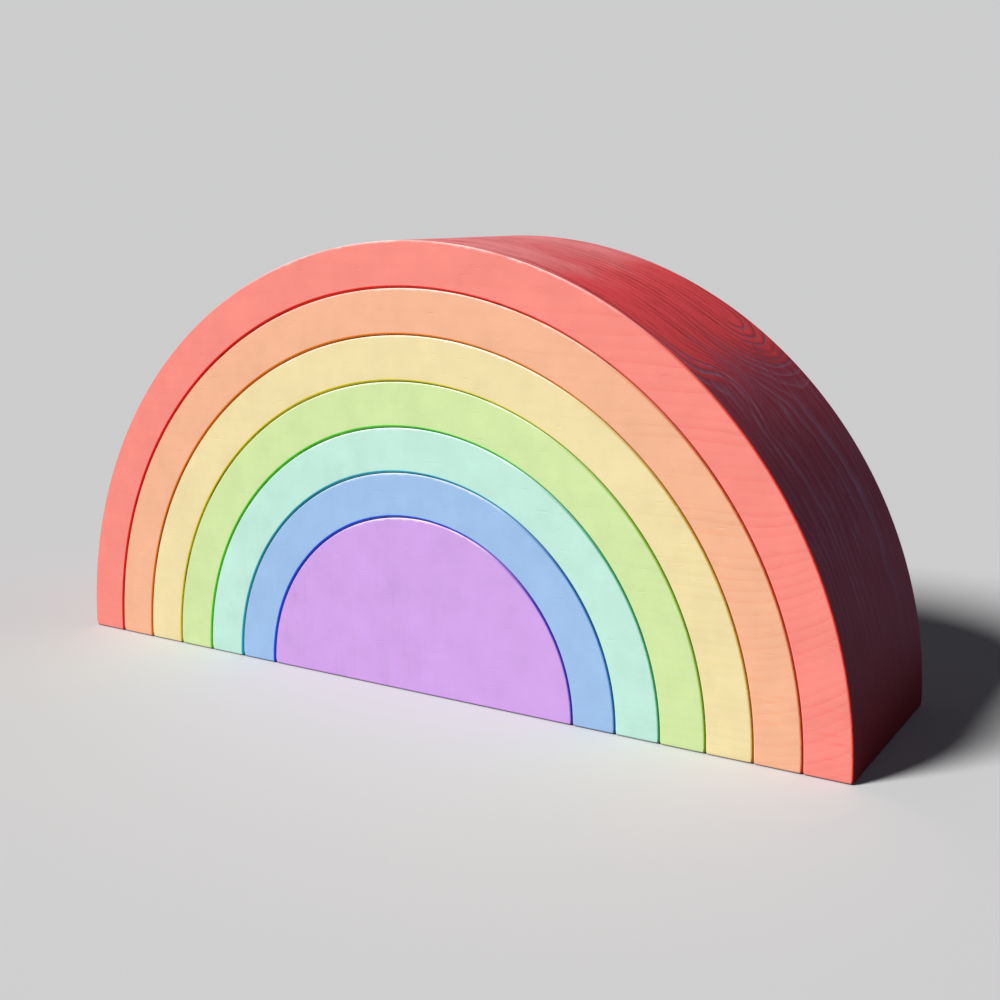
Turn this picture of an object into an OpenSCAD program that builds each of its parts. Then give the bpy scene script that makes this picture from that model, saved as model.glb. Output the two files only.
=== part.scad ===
// Rainbow stacker: six wooden arches that nest one inside the other round a solid half-disc.
// Every piece is loose, stands on its own feet and draws out along its depth.
// Frame: X across the set, Y from the front faces to the back faces, Z up.
// The origin is in the middle of the surface that the set stands on.

/* [Pieces] */
// Radius of the solid half-disc in the middle
core_radius = 52; // [30:1:90]
// Radial thickness of each arch
arch_thickness = 12.5; // [7:0.1:20]
// Depth of every piece, from its front face to its back face
depth = 65; // [30:1:100]

/* [Fit] */
// Radial gap between one piece and the next
nest_gap = 0.5; // [0.3:0.05:1.5]

/* [Edges] */
// Radius that softens every edge of every piece
edge_radius = 1; // [0.4:0.1:2.5]

/* [Hidden] */
NODES = [
    "red_arch",
    "orange_arch",
    "yellow_arch",
    "green_arch",
    "mint_arch",
    "blue_arch",
    "violet_core"
];
$fn = 96;

// Number of arches round the core
arch_count = len(NODES) - 1;
// Step in radius from one arch to the next
arch_pitch = nest_gap + arch_thickness;
// Outer radius of the whole set, which is also its height
set_radius = core_radius + arch_count * arch_pitch;
// How far cutting shapes run past what they cut
overrun = arch_thickness / 2;
// Share of the edge radius by which a foot's rounding crosses the wall above it
crossing_share = 0.02;
crossing = crossing_share * edge_radius;

// Radii of the arch at a place, counted outwards from 1 next to the core
function inner_radius(place) = core_radius + (place - 1) * arch_pitch + nest_gap;
function outer_radius(place) = core_radius + place * arch_pitch;

// Rectangle from one corner to the opposite one, with all four corners rounded
module rounded_rectangle(low, high) {
    size = high - low;
    inset = edge_radius;
    translate(low + [inset, 0]) square([size.x - 2 * inset, size.y]);
    translate(low + [0, inset]) square([size.x, size.y - 2 * inset]);
    for (x = [low.x + inset, high.x - inset], y = [low.y + inset, high.y - inset])
        translate([x, y]) circle(r = edge_radius);
}

// Section of a full ring, or of a full disc where the inner radius is zero
module ring_section(inner, outer) {
    if (inner > 0) {
        rounded_rectangle([inner, -depth / 2], [outer, depth / 2]);
    } else {
        intersection() {
            rounded_rectangle([-outer, -depth / 2], [outer, depth / 2]);
            translate([0, -depth / 2]) square([outer, depth]);
        }
    }
}

// Ring or disc about the Y axis, with soft rims at the front and the back
module ring(inner, outer) {
    rotate([90, 0, 0]) rotate_extrude() ring_section(inner, outer);
}

// Outline of one foot between two places along the ground, with its lower corners rounded
module foot_outline(low, high) {
    reach = edge_radius - crossing;
    translate([low + reach, 0]) square([high - low - 2 * reach, edge_radius + overrun]);
    for (place = [low + reach, high - reach])
        translate([place, edge_radius]) circle(r = edge_radius);
}

// Everything above the feet, out past the outermost radius
module above_feet() {
    translate([-set_radius - overrun, edge_radius])
        square([2 * (set_radius + overrun), set_radius + overrun]);
}

// Ground line of a piece seen from the front: one wide foot, or the two feet of an arch
module standing_front(inner, outer) {
    above_feet();
    if (inner > 0) {
        foot_outline(inner, outer);
        foot_outline(-outer, -inner);
    } else {
        foot_outline(-outer, outer);
    }
}

// Ground line of a piece seen from the side
module standing_side() {
    above_feet();
    foot_outline(-depth / 2, depth / 2);
}

// One loose piece: the upper half of a ring or disc, standing on feet with soft edges
module nested_piece(inner, outer) {
    intersection() {
        ring(inner, outer);
        rotate([90, 0, 0])
            linear_extrude(height = depth + 2 * overrun, center = true)
                standing_front(inner, outer);
        rotate([90, 0, 90])
            linear_extrude(height = 2 * (set_radius + overrun), center = true)
                standing_side();
    }
}

module arch(place) {
    nested_piece(inner_radius(place), outer_radius(place));
}

module violet_core() {
    color("#d5a7ec") nested_piece(0, core_radius);
}

module blue_arch() {
    color("#a1c3ee") arch(1);
}

module mint_arch() {
    color("#c1efde") arch(2);
}

module green_arch() {
    color("#d4eba8") arch(3);
}

module yellow_arch() {
    color("#f3e2ad") arch(4);
}

module orange_arch() {
    color("#f9b993") arch(5);
}

module red_arch() {
    color("#ff8d82") arch(6);
}

violet_core();
blue_arch();
mint_arch();
green_arch();
yellow_arch();
orange_arch();
red_arch();
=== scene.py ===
"""Rainbow stacker: nested wooden arches round a half-disc, dyed and sanded, on a plain studio floor."""

import math

import bmesh
import bpy
from bpy.props import FloatProperty, FloatVectorProperty, IntProperty, PointerProperty
from mathutils import Color, Matrix, Vector, noise


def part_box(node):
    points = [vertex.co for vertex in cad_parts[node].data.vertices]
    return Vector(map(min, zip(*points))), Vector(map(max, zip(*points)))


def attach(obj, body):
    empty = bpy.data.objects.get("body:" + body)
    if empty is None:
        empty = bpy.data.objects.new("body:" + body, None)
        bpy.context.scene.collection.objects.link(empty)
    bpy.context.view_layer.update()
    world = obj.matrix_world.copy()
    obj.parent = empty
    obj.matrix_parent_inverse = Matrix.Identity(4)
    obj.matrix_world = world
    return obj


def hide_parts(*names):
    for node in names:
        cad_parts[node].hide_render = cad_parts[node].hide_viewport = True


bl_info = {
    "name": "Rainbow Stacker",
    "version": (1, 0, 0),
    "blender": (4, 5, 0),
    "location": "3D View > Sidebar > Stacker",
    "description": "Models the dyed wooden arches of a rainbow stacker and a plain studio stage",
    "category": "Object",
}

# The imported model, its box before any new piece, and its pieces from the outside in
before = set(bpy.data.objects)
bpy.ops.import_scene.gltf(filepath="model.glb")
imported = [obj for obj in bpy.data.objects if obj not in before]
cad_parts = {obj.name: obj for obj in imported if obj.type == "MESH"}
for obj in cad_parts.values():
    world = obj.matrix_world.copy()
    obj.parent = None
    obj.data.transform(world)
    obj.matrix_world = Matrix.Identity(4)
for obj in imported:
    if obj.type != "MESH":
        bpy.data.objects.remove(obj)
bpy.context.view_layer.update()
ARCHES = ["red_arch", "orange_arch", "yellow_arch", "green_arch", "mint_arch", "blue_arch"]
CORE = "violet_core"
NEST = [*ARCHES, CORE]

# Shader lengths are in millimetres
MM = 1000


def outer_radius(node):
    """Outer radius of a piece: half the width of its solid."""
    low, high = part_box(node)
    return (high.x - low.x) / 2


def depth_of(node):
    """Depth of a piece, from its front face to its back face."""
    low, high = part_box(node)
    return high.y - low.y


def colour_name(node):
    """The colour that a piece is named for, which also names its dye."""
    return node.split("_")[0]


class StackerSizes(bpy.types.PropertyGroup):
    """Sizes of the sanded pieces that the solids don't give by themselves."""

    nest_gap: FloatProperty(
        name="Nest gap",
        description="Radial gap between one piece and the next",
        default=0.0001,
        precision=5,
        unit="LENGTH",
    )
    edge_radius: FloatProperty(
        name="Edge radius",
        description="Radius of the feet's edges before sanding",
        default=0.0007,
        precision=5,
        unit="LENGTH",
    )
    inner_edge_radius: FloatProperty(
        name="Inner edge radius",
        description="Radius of an arch's inner edges on the left, front and back, before sanding",
        default=0.0008,
        precision=5,
        unit="LENGTH",
    )
    right_inner_share: FloatProperty(
        name="Right inner share",
        description="Inner edge radius from the crown to the right foot, as a share of that on the left",
        default=0.65,
        subtype="FACTOR",
        min=0,
        max=1,
    )
    outer_edge_radius: FloatProperty(
        name="Outer edge radius",
        description="Radius of a piece's outer edges, front and back, before sanding",
        default=0.00025,
        precision=5,
        unit="LENGTH",
    )
    edge_wander: FloatProperty(
        name="Edge wander",
        description="Most that hand sanding took off an outer edge; inner edges lost a quarter of it",
        default=0.0001,
        precision=6,
        unit="LENGTH",
    )
    face_wander: FloatProperty(
        name="Face wander",
        description="Most that hand sanding took off a face",
        default=0.00005,
        precision=6,
        unit="LENGTH",
    )
    arc_step: FloatProperty(
        name="Arc step",
        description="Length of one face along the inside of an arch",
        default=0.0016,
        precision=5,
        unit="LENGTH",
    )
    edge_steps: IntProperty(
        name="Edge steps",
        description="Faces across a rounded edge",
        default=6,
        min=2,
    )
    wall_cuts: IntProperty(
        name="Wall cuts",
        description="Faces across the thickness of an arch",
        default=5,
        min=1,
    )
    depth_cuts: IntProperty(
        name="Depth cuts",
        description="Faces along the depth of a piece",
        default=26,
        min=1,
    )
    core_cuts: IntProperty(
        name="Core cuts",
        description="Faces along the core's radius, on its front and back",
        default=12,
        min=1,
    )


def dye_property(name, shade, where="the flat faces"):
    """A dye as the eye sees it in one place."""
    return FloatVectorProperty(
        name=name,
        description=f"{name} dye on {where}",
        default=[level / 255 for level in shade],
        subtype="COLOR_GAMMA",
        min=0,
        max=1,
    )


class StackerDyes(bpy.types.PropertyGroup):
    """Colours of the dyed wood and how much deeper they sit on the sawn curves, with painted coloured shade
    on the edges and in the gaps, and painted light, shade and sheen on the outer curve.
    """

    red: dye_property("Red", (250, 143, 131))
    orange: dye_property("Orange", (246, 184, 147))
    yellow: dye_property("Yellow", (241, 224, 169))
    green: dye_property("Green", (211, 233, 165))
    mint: dye_property("Mint", (194, 236, 219))
    blue: dye_property("Blue", (159, 194, 233))
    violet: dye_property("Violet", (211, 165, 232))
    # Painted shade: saturated colours that stand for the coloured shade on edges turned away from the key
    # light
    red_edge: dye_property("Shaded red", (255, 38, 20), "the edges")
    orange_edge: dye_property("Shaded orange", (255, 144, 21), "the edges")
    yellow_edge: dye_property("Shaded yellow", (240, 222, 24), "the edges")
    green_edge: dye_property("Shaded green", (89, 236, 48), "the edges")
    mint_edge: dye_property("Shaded mint", (33, 186, 210), "the edges")
    blue_edge: dye_property("Shaded blue", (33, 89, 250), "the edges")
    violet_edge: dye_property("Shaded violet", (120, 60, 240), "the edges")
    # Painted shade: this deeper, saturated colour on the hidden curves stands for the coloured shade in the
    # gaps between pieces
    gap_shade_depth: FloatProperty(
        name="Depth on curves",
        description="Power that deepens a dye on the sawn curves, which soak up more of it",
        default=2.4,
        min=1,
    )
    open_depth: FloatProperty(
        name="Depth on the open curve",
        description="Power that deepens a dye on the outermost curve, which lies open to the light",
        default=1.8,
        min=1,
    )
    # Painted sheen: a cool tint in the outer curve's colour that stands for a bluish reflection
    open_sheen_cast: FloatVectorProperty(
        name="Cast on the open curve",
        description="Tint that light has left in the dye of the outermost curve",
        default=(1.0, 0.86, 1.35),
        min=0,
    )
    # Painted shade with a painted cool sheen: the dark, blue-tinted colour high on the outer curve's right
    # side
    high_shade_sheen_cast: FloatVectorProperty(
        name="Cast high on the lee side",
        description="Tint in the dye of the outermost curve, high on its right side",
        default=(1.0, 1.05, 2.4),
        min=0,
    )
    # Painted shade: the dark colour low on the outer curve's right side
    low_shade_cast: FloatVectorProperty(
        name="Cast low on the lee side",
        description="Tint in the dye of the outermost curve, low on its right side",
        default=(1.0, 0.75, 1.0),
        min=0,
    )
    # Painted light and painted sheen: these two make the top of the outer curve paler and pinker, where the
    # key light falls on it
    crown_sheen_cast: FloatVectorProperty(
        name="Cast on the open crown",
        description="Tint that light has left in the dye of the outermost crown",
        default=(1.0, 0.98, 1.2),
        min=0,
    )
    crown_light_depth: FloatProperty(
        name="Depth on the open crown",
        description="Power that deepens a dye on the outermost crown, faded by light and hands",
        default=0.95,
        min=0.5,
    )
    streak_depth: FloatProperty(
        name="Depth in streaks",
        description="Power that deepens a dye in the late wood of each ring, on the flat faces",
        default=1.5,
        min=1,
    )


class StackerGrain(bpy.types.PropertyGroup):
    """Grain of the plank that the pieces are cut from; its fibres run across the set."""

    ring_width: FloatProperty(
        name="Ring width",
        description="Distance from one year's ring to the next",
        default=0.0032,
        precision=5,
        unit="LENGTH",
    )
    ring_flatness: FloatProperty(
        name="Ring flatness",
        description="Height of a ring compared with its depth, below the pith",
        default=1.25,
        min=0.1,
    )
    pith_height: FloatProperty(
        name="Pith height",
        description="Height of the pith that the rings curve round",
        default=0.15,
        unit="LENGTH",
    )
    pith_back: FloatProperty(
        name="Pith back",
        description="How far behind the middle the pith lies",
        default=0.024,
        unit="LENGTH",
    )
    figure_on_faces: FloatProperty(
        name="Figure on faces",
        description="Share of a streak's colour that shows on the flat faces, fading towards the middle",
        default=0.34,
        subtype="FACTOR",
        min=0,
        max=1,
    )
    figure_on_curves: FloatProperty(
        name="Figure on curves",
        description="Share of a streak's colour that shows on the sawn curves",
        default=0.9,
        subtype="FACTOR",
        min=0,
        max=1,
    )
    roughness: FloatProperty(
        name="Roughness",
        description="Roughness of the oiled surface",
        default=0.46,
        subtype="FACTOR",
        min=0,
        max=1,
    )
    shine: FloatProperty(
        name="Shine",
        description="Level of the oiled surface's mirror-like reflection",
        default=0.3,
        subtype="FACTOR",
        min=0,
        max=1,
    )


class StackerStage(bpy.types.PropertyGroup):
    """The floor, the light and the camera."""

    floor_colour: FloatVectorProperty(
        name="Floor",
        description="Colour of the floor",
        default=(0.58, 0.58, 0.58),
        subtype="COLOR",
        min=0,
        max=1,
    )
    bounce_colour: FloatVectorProperty(
        name="Bounce",
        description="Colour of the floor in the light that it throws back on the wood",
        default=(0.2, 0.19, 0.22),
        subtype="COLOR",
        min=0,
        max=1,
    )
    sheen_colour: FloatVectorProperty(
        name="Sheen",
        description="Colour of the floor where the wood's gloss reflects it",
        default=(0.16, 0.13, 0.22),
        subtype="COLOR",
        min=0,
        max=1,
    )
    floor_reach: FloatProperty(
        name="Floor reach",
        description="Half the width of the floor",
        default=40,
        unit="LENGTH",
    )
    key_strength: FloatProperty(
        name="Key strength",
        description="Strength of the broad key light",
        default=4.75,
        min=0,
    )
    key_colour: FloatVectorProperty(
        name="Key colour",
        description="Colour of the key light",
        default=(1.0, 1.0, 1.0),
        subtype="COLOR",
        min=0,
        max=1,
    )
    key_azimuth: FloatProperty(
        name="Key azimuth",
        description="Side that the key light comes from; negative is the left",
        default=math.radians(-38),
        unit="ROTATION",
    )
    key_elevation: FloatProperty(
        name="Key elevation",
        description="Height of the key light above the horizon",
        default=math.radians(41),
        unit="ROTATION",
    )
    key_spread: FloatProperty(
        name="Key spread",
        description="Angle that the key light fills, which softens the shadows",
        default=math.radians(16),
        unit="ROTATION",
    )
    sky_strength: FloatProperty(
        name="Sky strength",
        description="Strength of the even light from all round",
        default=0.04,
        min=0,
    )
    rim_strength: FloatProperty(
        name="Rim strength",
        description="Strength of the cool light from behind on the right",
        default=0.2,
        min=0,
    )
    rim_colour: FloatVectorProperty(
        name="Rim colour",
        description="Colour of the light from behind",
        default=(0.55, 0.6, 1.0),
        subtype="COLOR",
        min=0,
        max=1,
    )
    rim_azimuth: FloatProperty(
        name="Rim azimuth",
        description="Side that the light from behind comes from",
        default=math.radians(130),
        unit="ROTATION",
    )
    rim_elevation: FloatProperty(
        name="Rim elevation",
        description="Height of the light from behind above the horizon",
        default=math.radians(22),
        unit="ROTATION",
    )
    rim_spread: FloatProperty(
        name="Rim spread",
        description="Angle that the light from behind fills",
        default=math.radians(40),
        unit="ROTATION",
    )
    lens: FloatProperty(
        name="Lens",
        description="Focal length of the camera in millimetres, on a sensor 36 mm wide",
        default=50,
    )
    camera_place: FloatVectorProperty(
        name="Camera place",
        description="Where the camera stands",
        default=(0.2189, -0.3502, 0.14),
        subtype="TRANSLATION",
        unit="LENGTH",
        precision=4,
    )
    camera_azimuth: FloatProperty(
        name="Camera azimuth",
        description="Side that the camera looks from; positive is the right",
        default=math.radians(30.85),
        unit="ROTATION",
    )
    camera_elevation: FloatProperty(
        name="Camera elevation",
        description="Angle at which the camera looks down",
        default=math.radians(12.09),
        unit="ROTATION",
    )


class Field:
    """A value over a surface: a socket whose arithmetic adds Math nodes."""

    def __init__(self, finish, socket):
        self.finish = finish
        self.socket = socket

    def maths(self, operation, first, second):
        return self.finish.node("ShaderNodeMath", {"operation": operation}, {0: first, 1: second})

    def __add__(self, other):
        return self.maths("ADD", self, other)

    __radd__ = __add__

    def __sub__(self, other):
        return self.maths("SUBTRACT", self, other)

    def __rsub__(self, other):
        return self.maths("SUBTRACT", other, self)

    def __mul__(self, other):
        return self.maths("MULTIPLY", self, other)

    __rmul__ = __mul__

    def __truediv__(self, other):
        return self.maths("DIVIDE", self, other)

    def __pow__(self, other):
        return self.maths("POWER", self, other)

    def __abs__(self):
        return self.maths("ABSOLUTE", self, 0)

    def at_least(self, other):
        """This value or another, whichever is greater."""
        return self.maths("MAXIMUM", self, other)

    def fraction(self):
        """What is left of this value above the last whole number."""
        return self.maths("FRACT", self, 0)


class Finish:
    """A new material, with one method that adds any node to it."""

    def __init__(self, name):
        self.material = bpy.data.materials.new(name)
        self.material.use_nodes = True
        self.tree = self.material.node_tree
        self.shader = self.tree.nodes["Principled BSDF"]

    def node(self, kind, settings, inputs, output=0):
        """Adds a node: its settings first, a ramp's stops among them, then its sockets' values or links."""
        made = self.tree.nodes.new(kind)
        for name, value in settings.items():
            if name == "stops":
                self.set_stops(made.color_ramp.elements, value)
            else:
                setattr(made, name, value)
        for name, value in inputs.items():
            self.feed(made.inputs[name], value)
        return Field(self, made.outputs[output])

    def feed(self, socket, value):
        """Links a field to a socket, or sets a plain value on it."""
        if isinstance(value, Field):
            self.tree.links.new(value.socket, socket)
        else:
            socket.default_value = value

    @staticmethod
    def set_stops(elements, stops):
        """Gives a ramp its stops as pairs of a place and a grey level."""
        while len(elements) < len(stops):
            elements.new(1)
        for element, (place, level) in zip(elements, stops):
            element.position = place
            element.color = (level, level, level, 1)

    def blend(self, share, first, second):
        """A colour between two, by a share."""
        sockets = {0: share, 6: first, 7: second}
        return self.node("ShaderNodeMix", {"data_type": "RGBA"}, sockets, output=2)

    def scaled(self, vector, factor):
        """A vector made longer, or a colour made lighter or darker, by a factor."""
        sockets = {"Vector": vector, "Scale": factor}
        return self.node("ShaderNodeVectorMath", {"operation": "SCALE"}, sockets)

    def distance(self, first, second):
        """How far two places are apart."""
        sockets = {0: first, 1: second}
        return self.node("ShaderNodeVectorMath", {"operation": "DISTANCE"}, sockets, output="Value")

    def step(self, value, span):
        """A smooth rise from 0 to 1 as a value goes from the start of a span to its end."""
        start, end = span
        inputs = {"Value": value, "From Min": start, "From Max": end}
        return self.node("ShaderNodeMapRange", {"interpolation_type": "SMOOTHSTEP"}, inputs)


def linear(shade, power=1.0, level=1.0, cast=(1, 1, 1)):
    """A dye as linear light with full alpha, deepened by a power and a level and tinted by a cast."""
    light = Color(shade).from_srgb_to_scene_linear()
    return [level * tint * channel**power for channel, tint in zip(light, cast)] + [1.0]


# Late wood over one year's ring, as pairs of a place and a level
YEAR = [(0.0, 0.0), (0.35, 0.1), (0.75, 0.55), (0.9, 1.0), (1.0, 0.0)]

# Places in millimetres where the rings swell round a buried branch: centre, reach and height
SWIRLS = [
    ((88, -17, 95), 17, 9),
    ((-118, -34, 28), 16, 5),
    ((-60, 20, 114), 26, -6),
    ((150, -34, 40), 55, 9),
]

# Millimetres: how far drift and ripple bend the rings, and their depth under the curves' surface
RING_DRIFT = 16
RING_RIPPLE = 3
RINGS_UNDER_CURVES = 30

# On the faces the rings climb from this far right, by this much per square millimetre
CLIMB_FROM = 101
CLIMB = 0.011

# Depth of the sanded face, as a share of the most that sanding took off
SANDED = 1.2

# Edge radii under the sanded face where its finish starts to show, and where all of it shows
FACE_FINISH = (0.8, 0.5)

# Levels of noise between which a mark comes up
STRONG_YEARS = (-0.2, 0.22)
STROKED_PATCHES = (-0.08, 0.16)
STROKES = (0.0, 0.25)
FLECKS = (0.24, 0.32)
RAISED_NAP = (-0.02, 0.3)
WORN_HIGHLIGHT_PATCHES = (-0.2, 0.12)

# Least strength of the rings in weak years, of the pale worn line with its painted highlight between
# patches, and of the figure on the left
WEAK_YEARS = 0.2
LEAST_WORN_HIGHLIGHT = 0.3
LEFT_FIGURE = 0.3

# Strength of each kind of line, on the flat faces and on the curves
FACE_FIBRES, FACE_STROKES = 0.2, 0.4
CURVE_FIBRES, CURVE_SANDING = 0.35, 1.1

# Strength of the short fibres that stand up along the curves
NAP_SHARE = 0.55

# On the curves and on the faces: height of lines in millimetres, share of flecks, power of the figure
LINE_RELIEF = (0.05, 0.02)
FLECK_SHARE = (0.12, 0.03)
FIGURE_POWER = (1.3, 1.0)

# How much ripple and figure move the edge of the painted shade on the outer curve's right side, as shares
# of the radius
SHADED_RIPPLE, SHADED_FIGURE = 0.14, 0.16

# Depths in millimetres under the set's outer radius over which the open curve's dye comes up
OPEN_DEPTHS = (3, 1)

# How far right a point lies, as a share of its radius, where one look gives way to another: the painted
# shade on the outer curve's right side, the narrower inner edges, the end of the painted shade on inner
# edges, and the start of the painted shade on outer edges
SHADED_SIDE = (0.6, 0.725)
INNER_EDGE_TURN = (-0.4, 0.3)
EDGE_SHADE_END = (0.3, 0.7)
BOUNCE_SHADE_START = (0.4, 0.8)

# Heights and places in millimetres where one look gives way to another
LEVEL_RINGS = (86.0, 113.0)
# Heights between which the painted shade on the outer curve's right side turns from its low colour to its
# high, cooler one
SHADED_HEIGHT = (26.0, 66.0)
RIGHT_HALF = (30.0, 100.0)
BRUSHED_MIDDLE = -25
BRUSHED_REACH = (20.0, 68.0)

# Heights as a share of the set's radius: the crown's painted light, and the upper edges whose pale worn
# line is partly a painted highlight
LIT_CROWN = (0.9, 1.01)
WORN_HIGHLIGHT_HEIGHT = (0.8, 0.97)

# Widths of the lines along edges, as shares of the inner edge's radius, then millimetres: painted shade on
# inner edges, painted shade on outer edges, the pale worn line that is partly a painted highlight, and
# chips
EDGE_SHADE_BAND = (0.85, 1.25)
BOUNCE_SHADE_BAND = (0.15, 0.85)
WORN_HIGHLIGHT_BAND = (0.2, 0.75)
CHIPPED = 0.15

# Millimetres that ripple shifts the ends of the crown's painted light and of the heights of the right
# side's painted shade
HEIGHT_RIPPLE = 14

# Levels of the dyes: plain wood and streaks in each place on the curves, then the faces; on the curves they
# set the painted shade in the gaps and on the right side and the painted light on the crown, and the last
# one sets the painted shade on outer edges
GAP_SHADE_LEVEL, GAP_SHADE_STREAK = 1.0, 0.25
OPEN_LEVEL, OPEN_STREAK = 1.12, 0.3
LIT_CROWN_LEVEL, LIT_CROWN_STREAK = 1.05, 0.5
LOW_SHADE_LEVEL, LOW_SHADE_STREAK = 0.34, 0.3
HIGH_SHADE_LEVEL, HIGH_SHEEN_STREAK = 0.48, 0.52
FACE_STREAK = 0.9
BOUNCE_SHADE_LEVEL = 0.6

# Powers of the dyes: deeper in the streaks of the gaps' painted shade, paler in the painted sheen streaks
# high on the outer curve's right side and on worn upper edges, whose pale line is partly a painted
# highlight
GAP_SHADE_STREAK_DEPTH = 1.2
HIGH_SHEEN_STREAK_POWER = 0.5
WORN_HIGHLIGHT_POWER = 0.4

# Share of the pale dye on a worn upper edge, partly a painted highlight, and the power that holds streaks
# back where the painted shade on the outer curve's right side begins
WORN_HIGHLIGHT_SHARE = 0.85
SHADED_STREAK_HOLD = 3

# How much each mark changes the colour's brightness, the roughness, and the height in millimetres
TONE = {"mottle": 0.12, "blotch": 0.14, "lines": 0.2}
GLOSS = {"mottle": 0.1, "figure": -0.07, "lines": 0.12, "wear_and_highlight": -0.1}
RELIEF = {"shown_figure": -0.03, "fleck": -0.02, "mottle": 0.05, "blotch": 0.04}


def rising(low, share):
    """A level that rises from a low value to 1 with a share."""
    return low + (1 - low) * share


class DyedWood(Finish):
    """Dyed, oiled wood of one piece: fibres run across the set, and rings curve round a pith above it."""

    def __init__(self, scene, node, inner):
        """Makes the material; the inner radius is below zero where a piece has no inner edge."""
        super().__init__(f"{colour_name(node)} wood")
        self.sizes = scene.stacker_sizes
        self.dyes = scene.stacker_dyes
        self.grain = scene.stacker_grain
        self.inner = inner * MM
        self.outer = outer_radius(node) * MM
        self.set_radius = outer_radius(ARCHES[0]) * MM
        self.choose_dyes(node)
        self.survey(depth_of(node) / 2)
        self.bend_rings()
        self.mark()
        self.wear_and_highlight_edges()
        self.shade_surface()

    def choose_dyes(self, node):
        """The piece's own dye, the saturated colour of painted shade on its edges, and that mixed with the
        outer neighbour's as painted bounce light.
        """
        outside = NEST[max(0, NEST.index(node) - 1)]
        self.shade = getattr(self.dyes, colour_name(node))
        self.edge_shade = Color(getattr(self.dyes, f"{colour_name(node)}_edge"))
        self.bounce_shade = (self.edge_shade + Color(getattr(self.dyes, f"{colour_name(outside)}_edge"))) * 0.5

    def survey(self, half_depth):
        """Where a point lies, and how much of the flat face's finish shows there."""
        spot = self.node("ShaderNodeTexCoord", {}, {}, output="Object")
        self.place = self.scaled(spot, MM)
        self.x, self.y, self.z = (
            self.node("ShaderNodeSeparateXYZ", {}, {"Vector": self.place}, output=axis) for axis in "XYZ"
        )
        self.radius = (self.x * self.x + self.z * self.z) ** 0.5
        angle = self.node("ShaderNodeMath", {"operation": "ARCTAN2"}, {0: self.z, 1: self.x})
        self.along_arc = angle * self.radius
        self.rightwards = self.x / self.radius
        edge = self.sizes.outer_edge_radius * MM
        self.skin = (half_depth - SANDED * self.sizes.face_wander) * MM
        self.face = self.step(abs(self.y), [self.skin - share * edge for share in FACE_FINISH])

    def cloud(self, size, detail=2.0, roughness=0.5, place=None):
        """Noise from about -0.5 to 0.5, whose features have a size in millimetres along each axis."""
        ways = zip("XYZ", place or (self.x, self.y, self.z), size)
        features = {axis: way / length for axis, way, length in ways}
        spot = self.node("ShaderNodeCombineXYZ", {}, features)
        inputs = {"Vector": spot, "Scale": 1.0, "Detail": detail, "Roughness": roughness}
        return self.node("ShaderNodeTexNoise", {"noise_dimensions": "3D"}, inputs) - 0.5

    def on_face(self, curves, faces):
        """A value that differs between the curves and the flat faces."""
        return curves + self.face * (faces - curves)

    def bend_rings(self):
        """Late wood of the year rings, bent by slow and quick drifts and swollen round buried branches."""
        grain = self.grain
        drift = self.cloud((110, 60, 40), detail=1)
        self.ripple = self.cloud((30, 18, 11))
        across = self.y - grain.pith_back * MM + RING_DRIFT * drift
        under_faces = grain.ring_flatness * (grain.pith_height * MM - self.z)
        under_curves = RINGS_UNDER_CURVES * (1 - self.step(self.z, LEVEL_RINGS))
        down = self.on_face(under_curves, under_faces)
        rings = (across * across + down * down) ** 0.5 + RING_RIPPLE * self.ripple
        for centre, reach, height in SWIRLS:
            rings = rings + height * (1 - self.step(self.distance(self.place, centre), (0.0, reach)))
        past = (self.x - CLIMB_FROM).at_least(0.0)
        rings = rings + CLIMB * self.face * past * past
        phase = (rings / (grain.ring_width * MM)).fraction()
        late_wood = self.node("ShaderNodeValToRGB", {"stops": YEAR}, {"Fac": phase})
        years = self.cloud((120, 6, 70), detail=1, place=(self.x, rings, self.z))
        self.figure = late_wood * rising(WEAK_YEARS, self.step(years, STRONG_YEARS))

    def mark(self):
        """Fibres and strokes, sanding lines, brush marks, patches of dye, chips, flecks and nap."""
        fibres = self.cloud((13, 0.5, 0.5), detail=3, roughness=0.6)
        stroked = self.step(self.cloud((50, 50, 35), detail=1), STROKED_PATCHES)
        strokes = stroked * self.step(self.cloud((11, 0.9, 0.9)), STROKES)
        round_curve = (self.along_arc, self.y, self.radius)
        sanding = self.cloud((45, 2.4, 2.4), detail=4, roughness=0.65, place=round_curve)
        sideways = self.x - BRUSHED_MIDDLE
        brushed = 1 - self.step((sideways * sideways + self.z * self.z) ** 0.5, BRUSHED_REACH)
        brushing = brushed * self.cloud((1.3, 30, 22))
        self.on_right = self.step(self.x, RIGHT_HALF)
        face_lines = FACE_FIBRES * fibres + FACE_STROKES * strokes * self.on_right + brushing
        self.lines = self.on_face(CURVE_SANDING * sanding + CURVE_FIBRES * fibres, face_lines)
        self.mottle = self.cloud((16, 16, 13), detail=3)
        self.blotch = self.face * self.cloud((6, 6, 7))
        self.chips = self.cloud((2.2, 1.6, 1.6))
        self.fleck = self.step(self.cloud((5, 0.9, 0.9), detail=0), FLECKS)
        nap = self.cloud((9, 1.6, 1.6), detail=3, roughness=0.6, place=round_curve)
        self.nap = (1 - self.face) * self.step(nap, RAISED_NAP)

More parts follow.
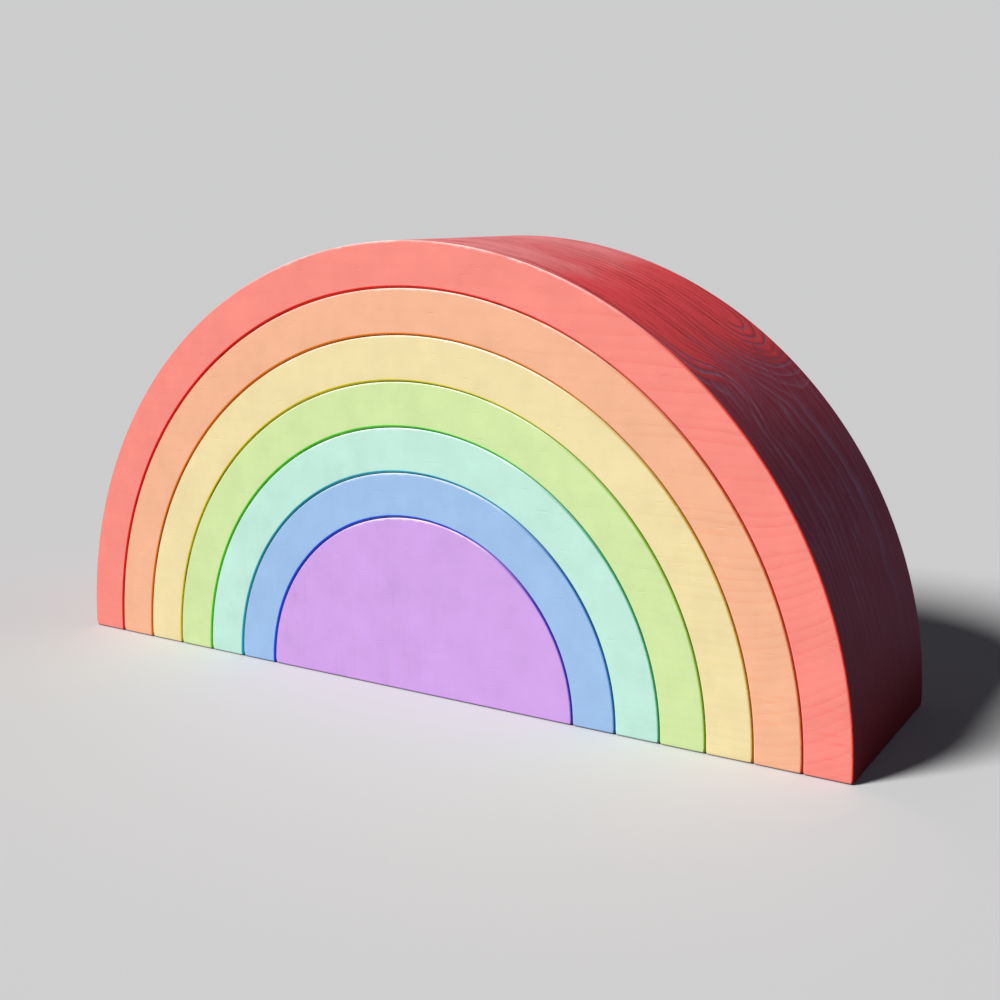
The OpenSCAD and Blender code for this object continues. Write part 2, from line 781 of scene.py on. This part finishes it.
    def wear_and_highlight_edges(self):
        """Upper edges that hands have worn smooth and pale, in a chipped line under a millimetre wide; the
        pale colour is partly a painted highlight where the key light catches them.
        """
        off_edge = (self.outer - self.radius).at_least(self.skin - abs(self.y))
        patches = self.step(self.cloud((9, 5, 9), detail=3), WORN_HIGHLIGHT_PATCHES)
        upper = self.step(self.z / self.radius, WORN_HIGHLIGHT_HEIGHT)
        line = 1 - self.step(off_edge + self.chips, WORN_HIGHLIGHT_BAND)
        self.wear_and_highlight = upper * rising(LEAST_WORN_HIGHLIGHT, patches) * line

    def curve_dyes(self):
        """Plain and streaked colour on the curves: deeper in the gaps as painted coloured shade, paler on
        the crown as painted light with a pink painted sheen, and dark on the outer curve's right side as
        painted shade, with pale streaks high there as painted sheen.
        """
        dyes = self.dyes
        shade = self.shade
        gap_shade_power = dyes.gap_shade_depth
        bare = dyes.open_depth
        cast = dyes.open_sheen_cast
        low = dyes.low_shade_cast
        open_curve = self.step(self.radius, [self.set_radius - depth for depth in OPEN_DEPTHS])
        rippled_height = self.z + HEIGHT_RIPPLE * self.ripple
        crown = [share * self.set_radius for share in LIT_CROWN]
        # Painted light with a pink painted sheen on the crown of the outer curve
        brightened = open_curve * self.step(rippled_height, crown)
        # Painted shade on the outer curve's right side, which turns away from the key light, with a cool
        # painted sheen high up
        shadewards = self.rightwards + SHADED_RIPPLE * self.ripple + SHADED_FIGURE * self.figure
        shaded = open_curve * self.step(shadewards, SHADED_SIDE)
        high = self.step(rippled_height, SHADED_HEIGHT)

        high_shade_sheen_dye = linear(shade, bare, HIGH_SHADE_LEVEL, dyes.high_shade_sheen_cast)
        shade_side_dye = self.blend(high, linear(shade, bare, LOW_SHADE_LEVEL, low), high_shade_sheen_dye)
        # Painted shade: the deeper, saturated colour on the hidden curves stands for the coloured shade in
        # the gaps
        hidden_shade_dye = linear(shade, gap_shade_power, GAP_SHADE_LEVEL)
        plain = self.blend(open_curve, hidden_shade_dye, linear(shade, bare, OPEN_LEVEL, cast))
        plain = self.blend(brightened, plain, linear(shade, dyes.crown_light_depth, LIT_CROWN_LEVEL, dyes.crown_sheen_cast))
        plain = self.blend(shaded, plain, shade_side_dye)

        # Pale streaks high on the shaded right side are painted sheen
        high_sheen_streak = linear(shade, HIGH_SHEEN_STREAK_POWER, HIGH_SHEEN_STREAK, cast)
        shade_side_streak = self.blend(high, linear(shade, bare, LOW_SHADE_STREAK, low), high_sheen_streak)
        hidden_shade_streak = linear(shade, gap_shade_power * GAP_SHADE_STREAK_DEPTH, GAP_SHADE_STREAK)
        streak = self.blend(open_curve, hidden_shade_streak, linear(shade, bare, OPEN_STREAK, cast))
        streak = self.blend(brightened, streak, linear(shade, bare, LIT_CROWN_STREAK, cast))
        streak = self.blend(shaded**SHADED_STREAK_HOLD, streak, shade_side_streak)
        return plain, streak

    def face_dyes(self):
        """Plain and streaked dye on the faces: pale, but with painted coloured shade along the edges that
        turn away from the key light.
        """
        narrowing = (1 - self.sizes.right_inner_share) * self.step(self.rightwards, INNER_EDGE_TURN)
        inner_band = self.sizes.inner_edge_radius * MM * (1 - narrowing)
        off_inner = (self.radius - self.inner + CHIPPED * self.chips) / inner_band
        off_outer = self.outer - self.radius + CHIPPED * self.chips
        # Painted shade on inner edges, from the left foot over the crown, where they turn away from the key
        # light
        inner_shade_side = 1 - self.step(self.rightwards, EDGE_SHADE_END)
        shaded_inner_edge = (1 - self.step(off_inner, EDGE_SHADE_BAND)) * inner_shade_side
        # Painted shade on outer edges on the right, with the outer neighbour's colour mixed in as painted
        # bounce light
        shaded_outer_edge = (1 - self.step(off_outer, BOUNCE_SHADE_BAND)) * self.step(self.rightwards, BOUNCE_SHADE_START)
        plain = self.blend(shaded_inner_edge, linear(self.shade), linear(self.edge_shade))
        plain = self.blend(shaded_outer_edge, plain, linear(self.bounce_shade, 1, BOUNCE_SHADE_LEVEL))
        return plain, linear(self.shade, self.dyes.streak_depth, FACE_STREAK)

    def weighed(self, base, weights):
        """A base value plus each named mark times its weight."""
        return sum((weight * getattr(self, mark) for mark, weight in weights.items()), base)

    def shade_surface(self):
        """Feeds the shader: the streaks' dye shows in late wood, flecks, lines and nap."""
        face_figure = self.grain.figure_on_faces * rising(LEFT_FIGURE, self.on_right)
        face_figure = face_figure * (self.radius / self.set_radius) ** 2
        shown = self.on_face(self.grain.figure_on_curves, face_figure)
        self.shown_figure = shown * self.figure
        share = shown * self.figure ** self.on_face(*FIGURE_POWER)
        share = share + self.on_face(*FLECK_SHARE) * self.fleck + self.lines + NAP_SHARE * self.nap
        plain, streak = (self.blend(self.face, *pair) for pair in zip(self.curve_dyes(), self.face_dyes()))
        dyed = self.scaled(self.blend(share, plain, streak), self.weighed(1, TONE))
        # Pale worn line on the upper edges, partly a painted highlight
        dyed = self.blend(WORN_HIGHLIGHT_SHARE * self.wear_and_highlight, dyed, linear(self.shade, WORN_HIGHLIGHT_POWER))
        relief = self.weighed(self.on_face(*LINE_RELIEF) * self.lines, RELIEF)
        bump = {"Strength": 1.0, "Distance": 1 / MM, "Height": relief}
        sockets = self.shader.inputs
        self.feed(sockets["Base Color"], dyed)
        self.feed(sockets["Specular IOR Level"], self.grain.shine)
        self.feed(sockets["Roughness"], self.weighed(self.grain.roughness, GLOSS))
        self.feed(sockets["Normal"], self.node("ShaderNodeBump", {}, bump))


def ramp(value, span):
    """A straight rise from 0 to 1 as a number goes from the start of a span to its end."""
    start, end = span
    return max(0, min(1, (value - start) / (end - start)))


# Edges that turn by more than this are rounded, and a flat face's normal points this far forwards or back
SHARP = math.radians(60)
FLAT = 0.999

# In edge radii: how near the edge a point has to be, and the height over which an edge takes its new radius
NEAR_EDGE = 1.05
ABOVE_FOOT = (0.75, 2.25)

# Hand sanding: waves per metre, how a piece's number shifts them, and their shares of what an edge lost
LONG_WAVES = 32
SHORT_WAVES = 150
WAVE_SHIFT = (3.7, 1.3, 2.1)
EVEN_SHARE, LONG_SHARE, SHORT_SHARE = 0.4, 0.2, 0.4
INNER_EDGE_SHARE = 0.25


def round_edges(bm, sizes):
    """Rounds every sharp edge of a closed piece."""
    bmesh.ops.bevel(
        bm,
        geom=[edge for edge in bm.edges if edge.calc_face_angle() > SHARP],
        offset=sizes.edge_radius,
        offset_type="OFFSET",
        segments=sizes.edge_steps,
        profile=0.5,
        affect="EDGES",
        material=-1,
        loop_slide=True,
    )


def resize_edges(bm, curve, half_depth, old_radius, left_radius, right_radius):
    """Gives a curve's front and back edges new radii, left and right, that meet the old one at the feet."""
    for vert in bm.verts:
        radius = math.hypot(vert.co.x, vert.co.z)
        off_curve = radius - curve
        behind_face = half_depth - abs(vert.co.y)
        if max(abs(off_curve), behind_face) < NEAR_EDGE * old_radius:
            turn = ramp(vert.co.x / radius, INNER_EDGE_TURN)
            new_radius = left_radius + turn * turn * (3 - 2 * turn) * (right_radius - left_radius)
            share = 1 + ramp(vert.co.z / old_radius, ABOVE_FOOT) * (new_radius / old_radius - 1)
            scale = (curve + share * off_curve) / radius
            vert.co.x *= scale
            vert.co.z *= scale
            vert.co.y = math.copysign(half_depth - share * behind_face, vert.co.y)


def sand_by_hand(bm, sizes, seed):
    """Takes a little off faces and edges, unevenly, but nothing off the soles."""
    bm.normal_update()
    shift = Vector([seed * part for part in WAVE_SHIFT])
    moves = []
    for vert in bm.verts:
        angle = math.atan2(vert.co.z, vert.co.x)
        outwards = Vector((math.cos(angle), 0, math.sin(angle)))
        along = Vector((-math.sin(angle), 0, math.cos(angle)))
        parts = (vert.normal.dot(outwards), vert.normal.y, vert.normal.dot(along))
        roundness = min(1.0, 2 * (1 - sum(part**4 for part in parts)))
        edge_share = roundness if parts[0] > 0 else roundness * INNER_EDGE_SHARE
        on_sole = vert.co.z < sizes.edge_radius / 20
        long_waves = 0.5 + 0.5 * noise.noise(vert.co * LONG_WAVES + shift)
        short_waves = 0.5 + 0.5 * noise.noise(vert.co * SHORT_WAVES + shift)
        taken = sizes.face_wander * long_waves
        waves = EVEN_SHARE + LONG_SHARE * long_waves + SHORT_SHARE * short_waves
        taken += sizes.edge_wander * edge_share * waves
        moves.append(vert.normal * (0 if on_sole else -taken))
    for vert, move in zip(bm.verts, moves):
        vert.co += move


def finish_piece(bm, node, material):
    """Makes a mesh object of a piece, which stands for its solid and moves with it."""
    mesh = bpy.data.meshes.new(f"{node}_wood")
    bm.to_mesh(mesh)
    bm.free()
    mesh.shade_smooth()
    mesh.materials.append(material)
    piece = bpy.data.objects.new(f"{node}_wood", mesh)
    bpy.context.scene.collection.objects.link(piece)
    weighted = piece.modifiers.new("Weighted Normal", "WEIGHTED_NORMAL")
    weighted.weight = 100
    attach(piece, node)
    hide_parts(node)


class STACKER_OT_arches(bpy.types.Operator):
    """Model the nested arches by spinning a foot over half a circle"""

    bl_idname = "stacker.arches"
    bl_label = "Arches"

    def execute(self, context):
        sizes = context.scene.stacker_sizes
        outer_edge = sizes.outer_edge_radius
        left_edge = sizes.inner_edge_radius
        right_edge = sizes.right_inner_share * left_edge
        for place, node in enumerate(ARCHES):
            outer = outer_radius(node)
            inner = outer_radius(NEST[place + 1]) + sizes.nest_gap
            half_depth = depth_of(node) / 2
            bm = self.spun_arch(sizes, inner, outer, depth_of(node))
            round_edges(bm, sizes)
            resize_edges(bm, outer, half_depth, sizes.edge_radius, outer_edge, outer_edge)
            resize_edges(bm, inner, half_depth, sizes.edge_radius, left_edge, right_edge)
            sand_by_hand(bm, sizes, seed=place)
            finish_piece(bm, node, DyedWood(context.scene, node, inner).material)
        return {"FINISHED"}

    @staticmethod
    def spun_arch(sizes, inner, outer, depth):
        """A closed half-ring: the right foot's sole, spun over to the left foot."""
        bm = bmesh.new()
        bmesh.ops.create_grid(bm, x_segments=sizes.wall_cuts, y_segments=sizes.depth_cuts, size=0.5)
        bmesh.ops.scale(bm, vec=(outer - inner, depth, 1), verts=bm.verts)
        bmesh.ops.translate(bm, vec=((inner + outer) / 2, 0, 0), verts=bm.verts)
        sole = bm.faces[:]
        bmesh.ops.duplicate(bm, geom=sole)
        steps = round(math.pi * inner / sizes.arc_step)
        bmesh.ops.spin(bm, geom=sole, cent=(0, 0, 0), axis=(0, -1, 0), angle=math.pi, steps=steps)
        bmesh.ops.remove_doubles(bm, verts=bm.verts, dist=sizes.edge_radius / 100)
        bmesh.ops.recalc_face_normals(bm, faces=bm.faces)
        return bm


class STACKER_OT_core(bpy.types.Operator):
    """Model the solid half-disc in the middle by extruding half a circle"""

    bl_idname = "stacker.core"
    bl_label = "Core"

    def execute(self, context):
        sizes = context.scene.stacker_sizes
        outer = outer_radius(CORE)
        edge = sizes.outer_edge_radius
        hair = outer / 1e4
        bm = self.half_disc(sizes, outer, depth_of(CORE), hair)
        round_edges(bm, sizes)
        resize_edges(bm, outer, depth_of(CORE) / 2, sizes.edge_radius, edge, edge)
        self.cut_flat_faces(bm, outer, sizes.core_cuts, hair)
        sand_by_hand(bm, sizes, seed=len(ARCHES))
        finish_piece(bm, CORE, DyedWood(context.scene, CORE, inner=-outer).material)
        return {"FINISHED"}

    @staticmethod
    def half_disc(sizes, outer, depth, hair):
        """A closed half-disc, standing on its flat side, with loops along its depth."""
        bm = bmesh.new()
        steps = round(math.pi * outer / sizes.arc_step)
        bmesh.ops.create_circle(bm, cap_ends=True, radius=outer, segments=2 * steps)
        upright = Matrix.Rotation(math.pi / 2, 3, "X")
        bmesh.ops.rotate(bm, cent=(0, 0, 0), matrix=upright, verts=bm.verts)
        whole = bm.verts[:] + bm.edges[:] + bm.faces[:]
        bmesh.ops.bisect_plane(
            bm, geom=whole, dist=hair, plane_co=(0, 0, 0), plane_no=(0, 0, 1), clear_inner=True
        )
        base = [edge for edge in bm.edges if all(abs(vert.co.z) < hair for vert in edge.verts)]
        bmesh.ops.subdivide_edges(bm, edges=base, cuts=2 * sizes.depth_cuts)
        bmesh.ops.translate(bm, vec=(0, -depth / 2, 0), verts=bm.verts)
        back = bmesh.ops.extrude_face_region(bm, geom=bm.faces[:], use_keep_orig=True)
        moved = [part for part in back["geom"] if isinstance(part, bmesh.types.BMVert)]
        bmesh.ops.translate(bm, vec=(0, depth, 0), verts=moved)
        across = [edge for edge in bm.edges if abs(edge.verts[0].co.y - edge.verts[1].co.y) > depth / 2]
        bmesh.ops.subdivide_edges(bm, edges=across, cuts=sizes.depth_cuts - 1, use_grid_fill=True)
        bmesh.ops.recalc_face_normals(bm, faces=bm.faces)
        return bm

    @staticmethod
    def cut_flat_faces(bm, outer, cuts, hair):
        """Cuts the front and back faces into a grid, so that sanding shapes them too."""
        pitch = outer / cuts
        lines = [(Vector((1, 0, 0)), step) for step in range(1 - cuts, cuts)]
        lines += [(Vector((0, 0, 1)), step) for step in range(1, cuts)]
        for across, step in lines:
            bm.normal_update()
            flats = [face for face in bm.faces if abs(face.normal.y) > FLAT]
            geom = {part for face in flats for part in (face, *face.edges, *face.verts)}
            bmesh.ops.bisect_plane(
                bm, geom=list(geom), dist=hair, plane_co=across * step * pitch, plane_no=across
            )


def towards(azimuth, elevation):
    """Direction from the object to a light or a camera at these angles."""
    level = math.cos(elevation)
    return Vector((math.sin(azimuth) * level, -math.cos(azimuth) * level, math.sin(elevation)))


class STACKER_OT_stage(bpy.types.Operator):
    """Set a plain pale floor, a broad key light, a cool light from behind, sky light and the camera"""

    bl_idname = "stacker.stage"
    bl_label = "Stage"

    def execute(self, context):
        stage = context.scene.stacker_stage
        self.lay_floor(context, stage)
        lit = Color((1, 1, 1)) * stage.sky_strength
        lit += self.add_sun(context, stage, "key")
        lit += self.add_sun(context, stage, "rim")
        self.add_sky(context, stage, lit)
        self.place_camera(context, stage)
        context.scene.view_settings.view_transform = "Standard"
        return {"FINISHED"}

    @staticmethod
    def lay_floor(context, stage):
        """A wide floor that the camera sees pale, and whose thrown light and reflection are dimmer."""
        bm = bmesh.new()
        bmesh.ops.create_grid(bm, x_segments=1, y_segments=1, size=stage.floor_reach)
        mesh = bpy.data.meshes.new("floor")
        bm.to_mesh(mesh)
        bm.free()
        paper = Finish("floor paper")
        seen = paper.node("ShaderNodeLightPath", {}, {}, output="Is Camera Ray")
        mirrored = paper.node("ShaderNodeLightPath", {}, {}, output="Is Glossy Ray")
        colour = paper.blend(mirrored, (*stage.bounce_colour, 1), (*stage.sheen_colour, 1))
        colour = paper.blend(seen, colour, (*stage.floor_colour, 1))
        paper.feed(paper.shader.inputs["Base Color"], colour)
        paper.feed(paper.shader.inputs["Roughness"], 1.0)
        paper.feed(paper.shader.inputs["Specular IOR Level"], 0.0)
        mesh.materials.append(paper.material)
        floor = bpy.data.objects.new("floor", mesh)
        context.scene.collection.objects.link(floor)

    @staticmethod
    def add_sun(context, stage, name):
        """Adds a broad, distant light and gives the light that it throws on a white floor."""
        sun = bpy.data.lights.new(name, "SUN")
        sun.energy = getattr(stage, f"{name}_strength")
        sun.color = getattr(stage, f"{name}_colour")
        sun.angle = getattr(stage, f"{name}_spread")
        elevation = getattr(stage, f"{name}_elevation")
        shining = -towards(getattr(stage, f"{name}_azimuth"), elevation)
        light = bpy.data.objects.new(name, sun)
        light.rotation_euler = shining.to_track_quat("-Z", "Y").to_euler()
        context.scene.collection.objects.link(light)
        return Color(sun.color) * (sun.energy * math.sin(elevation) / math.pi)

    @staticmethod
    def add_sky(context, stage, lit):
        """An even sky, which the camera sees in the lit floor's own colour beyond its far edge."""
        world = bpy.data.worlds.new("studio")
        world.use_nodes = True
        context.scene.world = world
        nodes = world.node_tree.nodes
        links = world.node_tree.links
        sky = nodes["Background"]
        sky.inputs["Color"].default_value = (1, 1, 1, 1)
        sky.inputs["Strength"].default_value = stage.sky_strength
        beyond = nodes.new("ShaderNodeBackground")
        floor = [paper * light for paper, light in zip(stage.floor_colour, lit)]
        beyond.inputs["Color"].default_value = (*floor, 1)
        rays = nodes.new("ShaderNodeLightPath")
        mix = nodes.new("ShaderNodeMixShader")
        links.new(rays.outputs["Is Camera Ray"], mix.inputs["Fac"])
        links.new(sky.outputs["Background"], mix.inputs[1])
        links.new(beyond.outputs["Background"], mix.inputs[2])
        links.new(mix.outputs["Shader"], nodes["World Output"].inputs["Surface"])

    @staticmethod
    def place_camera(context, stage):
        """Stands the camera where the picture is taken from."""
        lens = bpy.data.cameras.new("camera")
        lens.lens = stage.lens
        lens.sensor_width = 36
        camera = bpy.data.objects.new("camera", lens)
        camera.location = stage.camera_place
        looking = -towards(stage.camera_azimuth, stage.camera_elevation)
        camera.rotation_euler = looking.to_track_quat("-Z", "Y").to_euler()
        context.scene.collection.objects.link(camera)
        context.scene.camera = camera


class STACKER_PT_panel(bpy.types.Panel):
    """Lists the sizes, colours and steps of the rainbow stacker"""

    bl_label = "Rainbow Stacker"
    bl_idname = "STACKER_PT_panel"
    bl_space_type = "VIEW_3D"
    bl_region_type = "UI"
    bl_category = "Stacker"

    def draw(self, context):
        layout = self.layout
        for group in GROUPS:
            box = layout.box()
            settings = getattr(context.scene, group)
            for name in settings.bl_rna.properties.keys():
                if name not in ("rna_type", "name"):
                    box.prop(settings, name)
        for operator in OPERATORS:
            layout.operator(operator.bl_idname)


GROUPS = {
    "stacker_sizes": StackerSizes,
    "stacker_dyes": StackerDyes,
    "stacker_grain": StackerGrain,
    "stacker_stage": StackerStage,
}
OPERATORS = [STACKER_OT_arches, STACKER_OT_core, STACKER_OT_stage]
CLASSES = [*GROUPS.values(), *OPERATORS, STACKER_PT_panel]


def register():
    for cls in CLASSES:
        bpy.utils.register_class(cls)
    for name, group in GROUPS.items():
        setattr(bpy.types.Scene, name, PointerProperty(type=group))


def unregister():
    for name in GROUPS:
        delattr(bpy.types.Scene, name)
    for cls in reversed(CLASSES):
        bpy.utils.unregister_class(cls)


def main():
    register()
    bpy.ops.stacker.arches()
    bpy.ops.stacker.core()
    bpy.ops.stacker.stage()


if __name__ == "__main__":
    main()
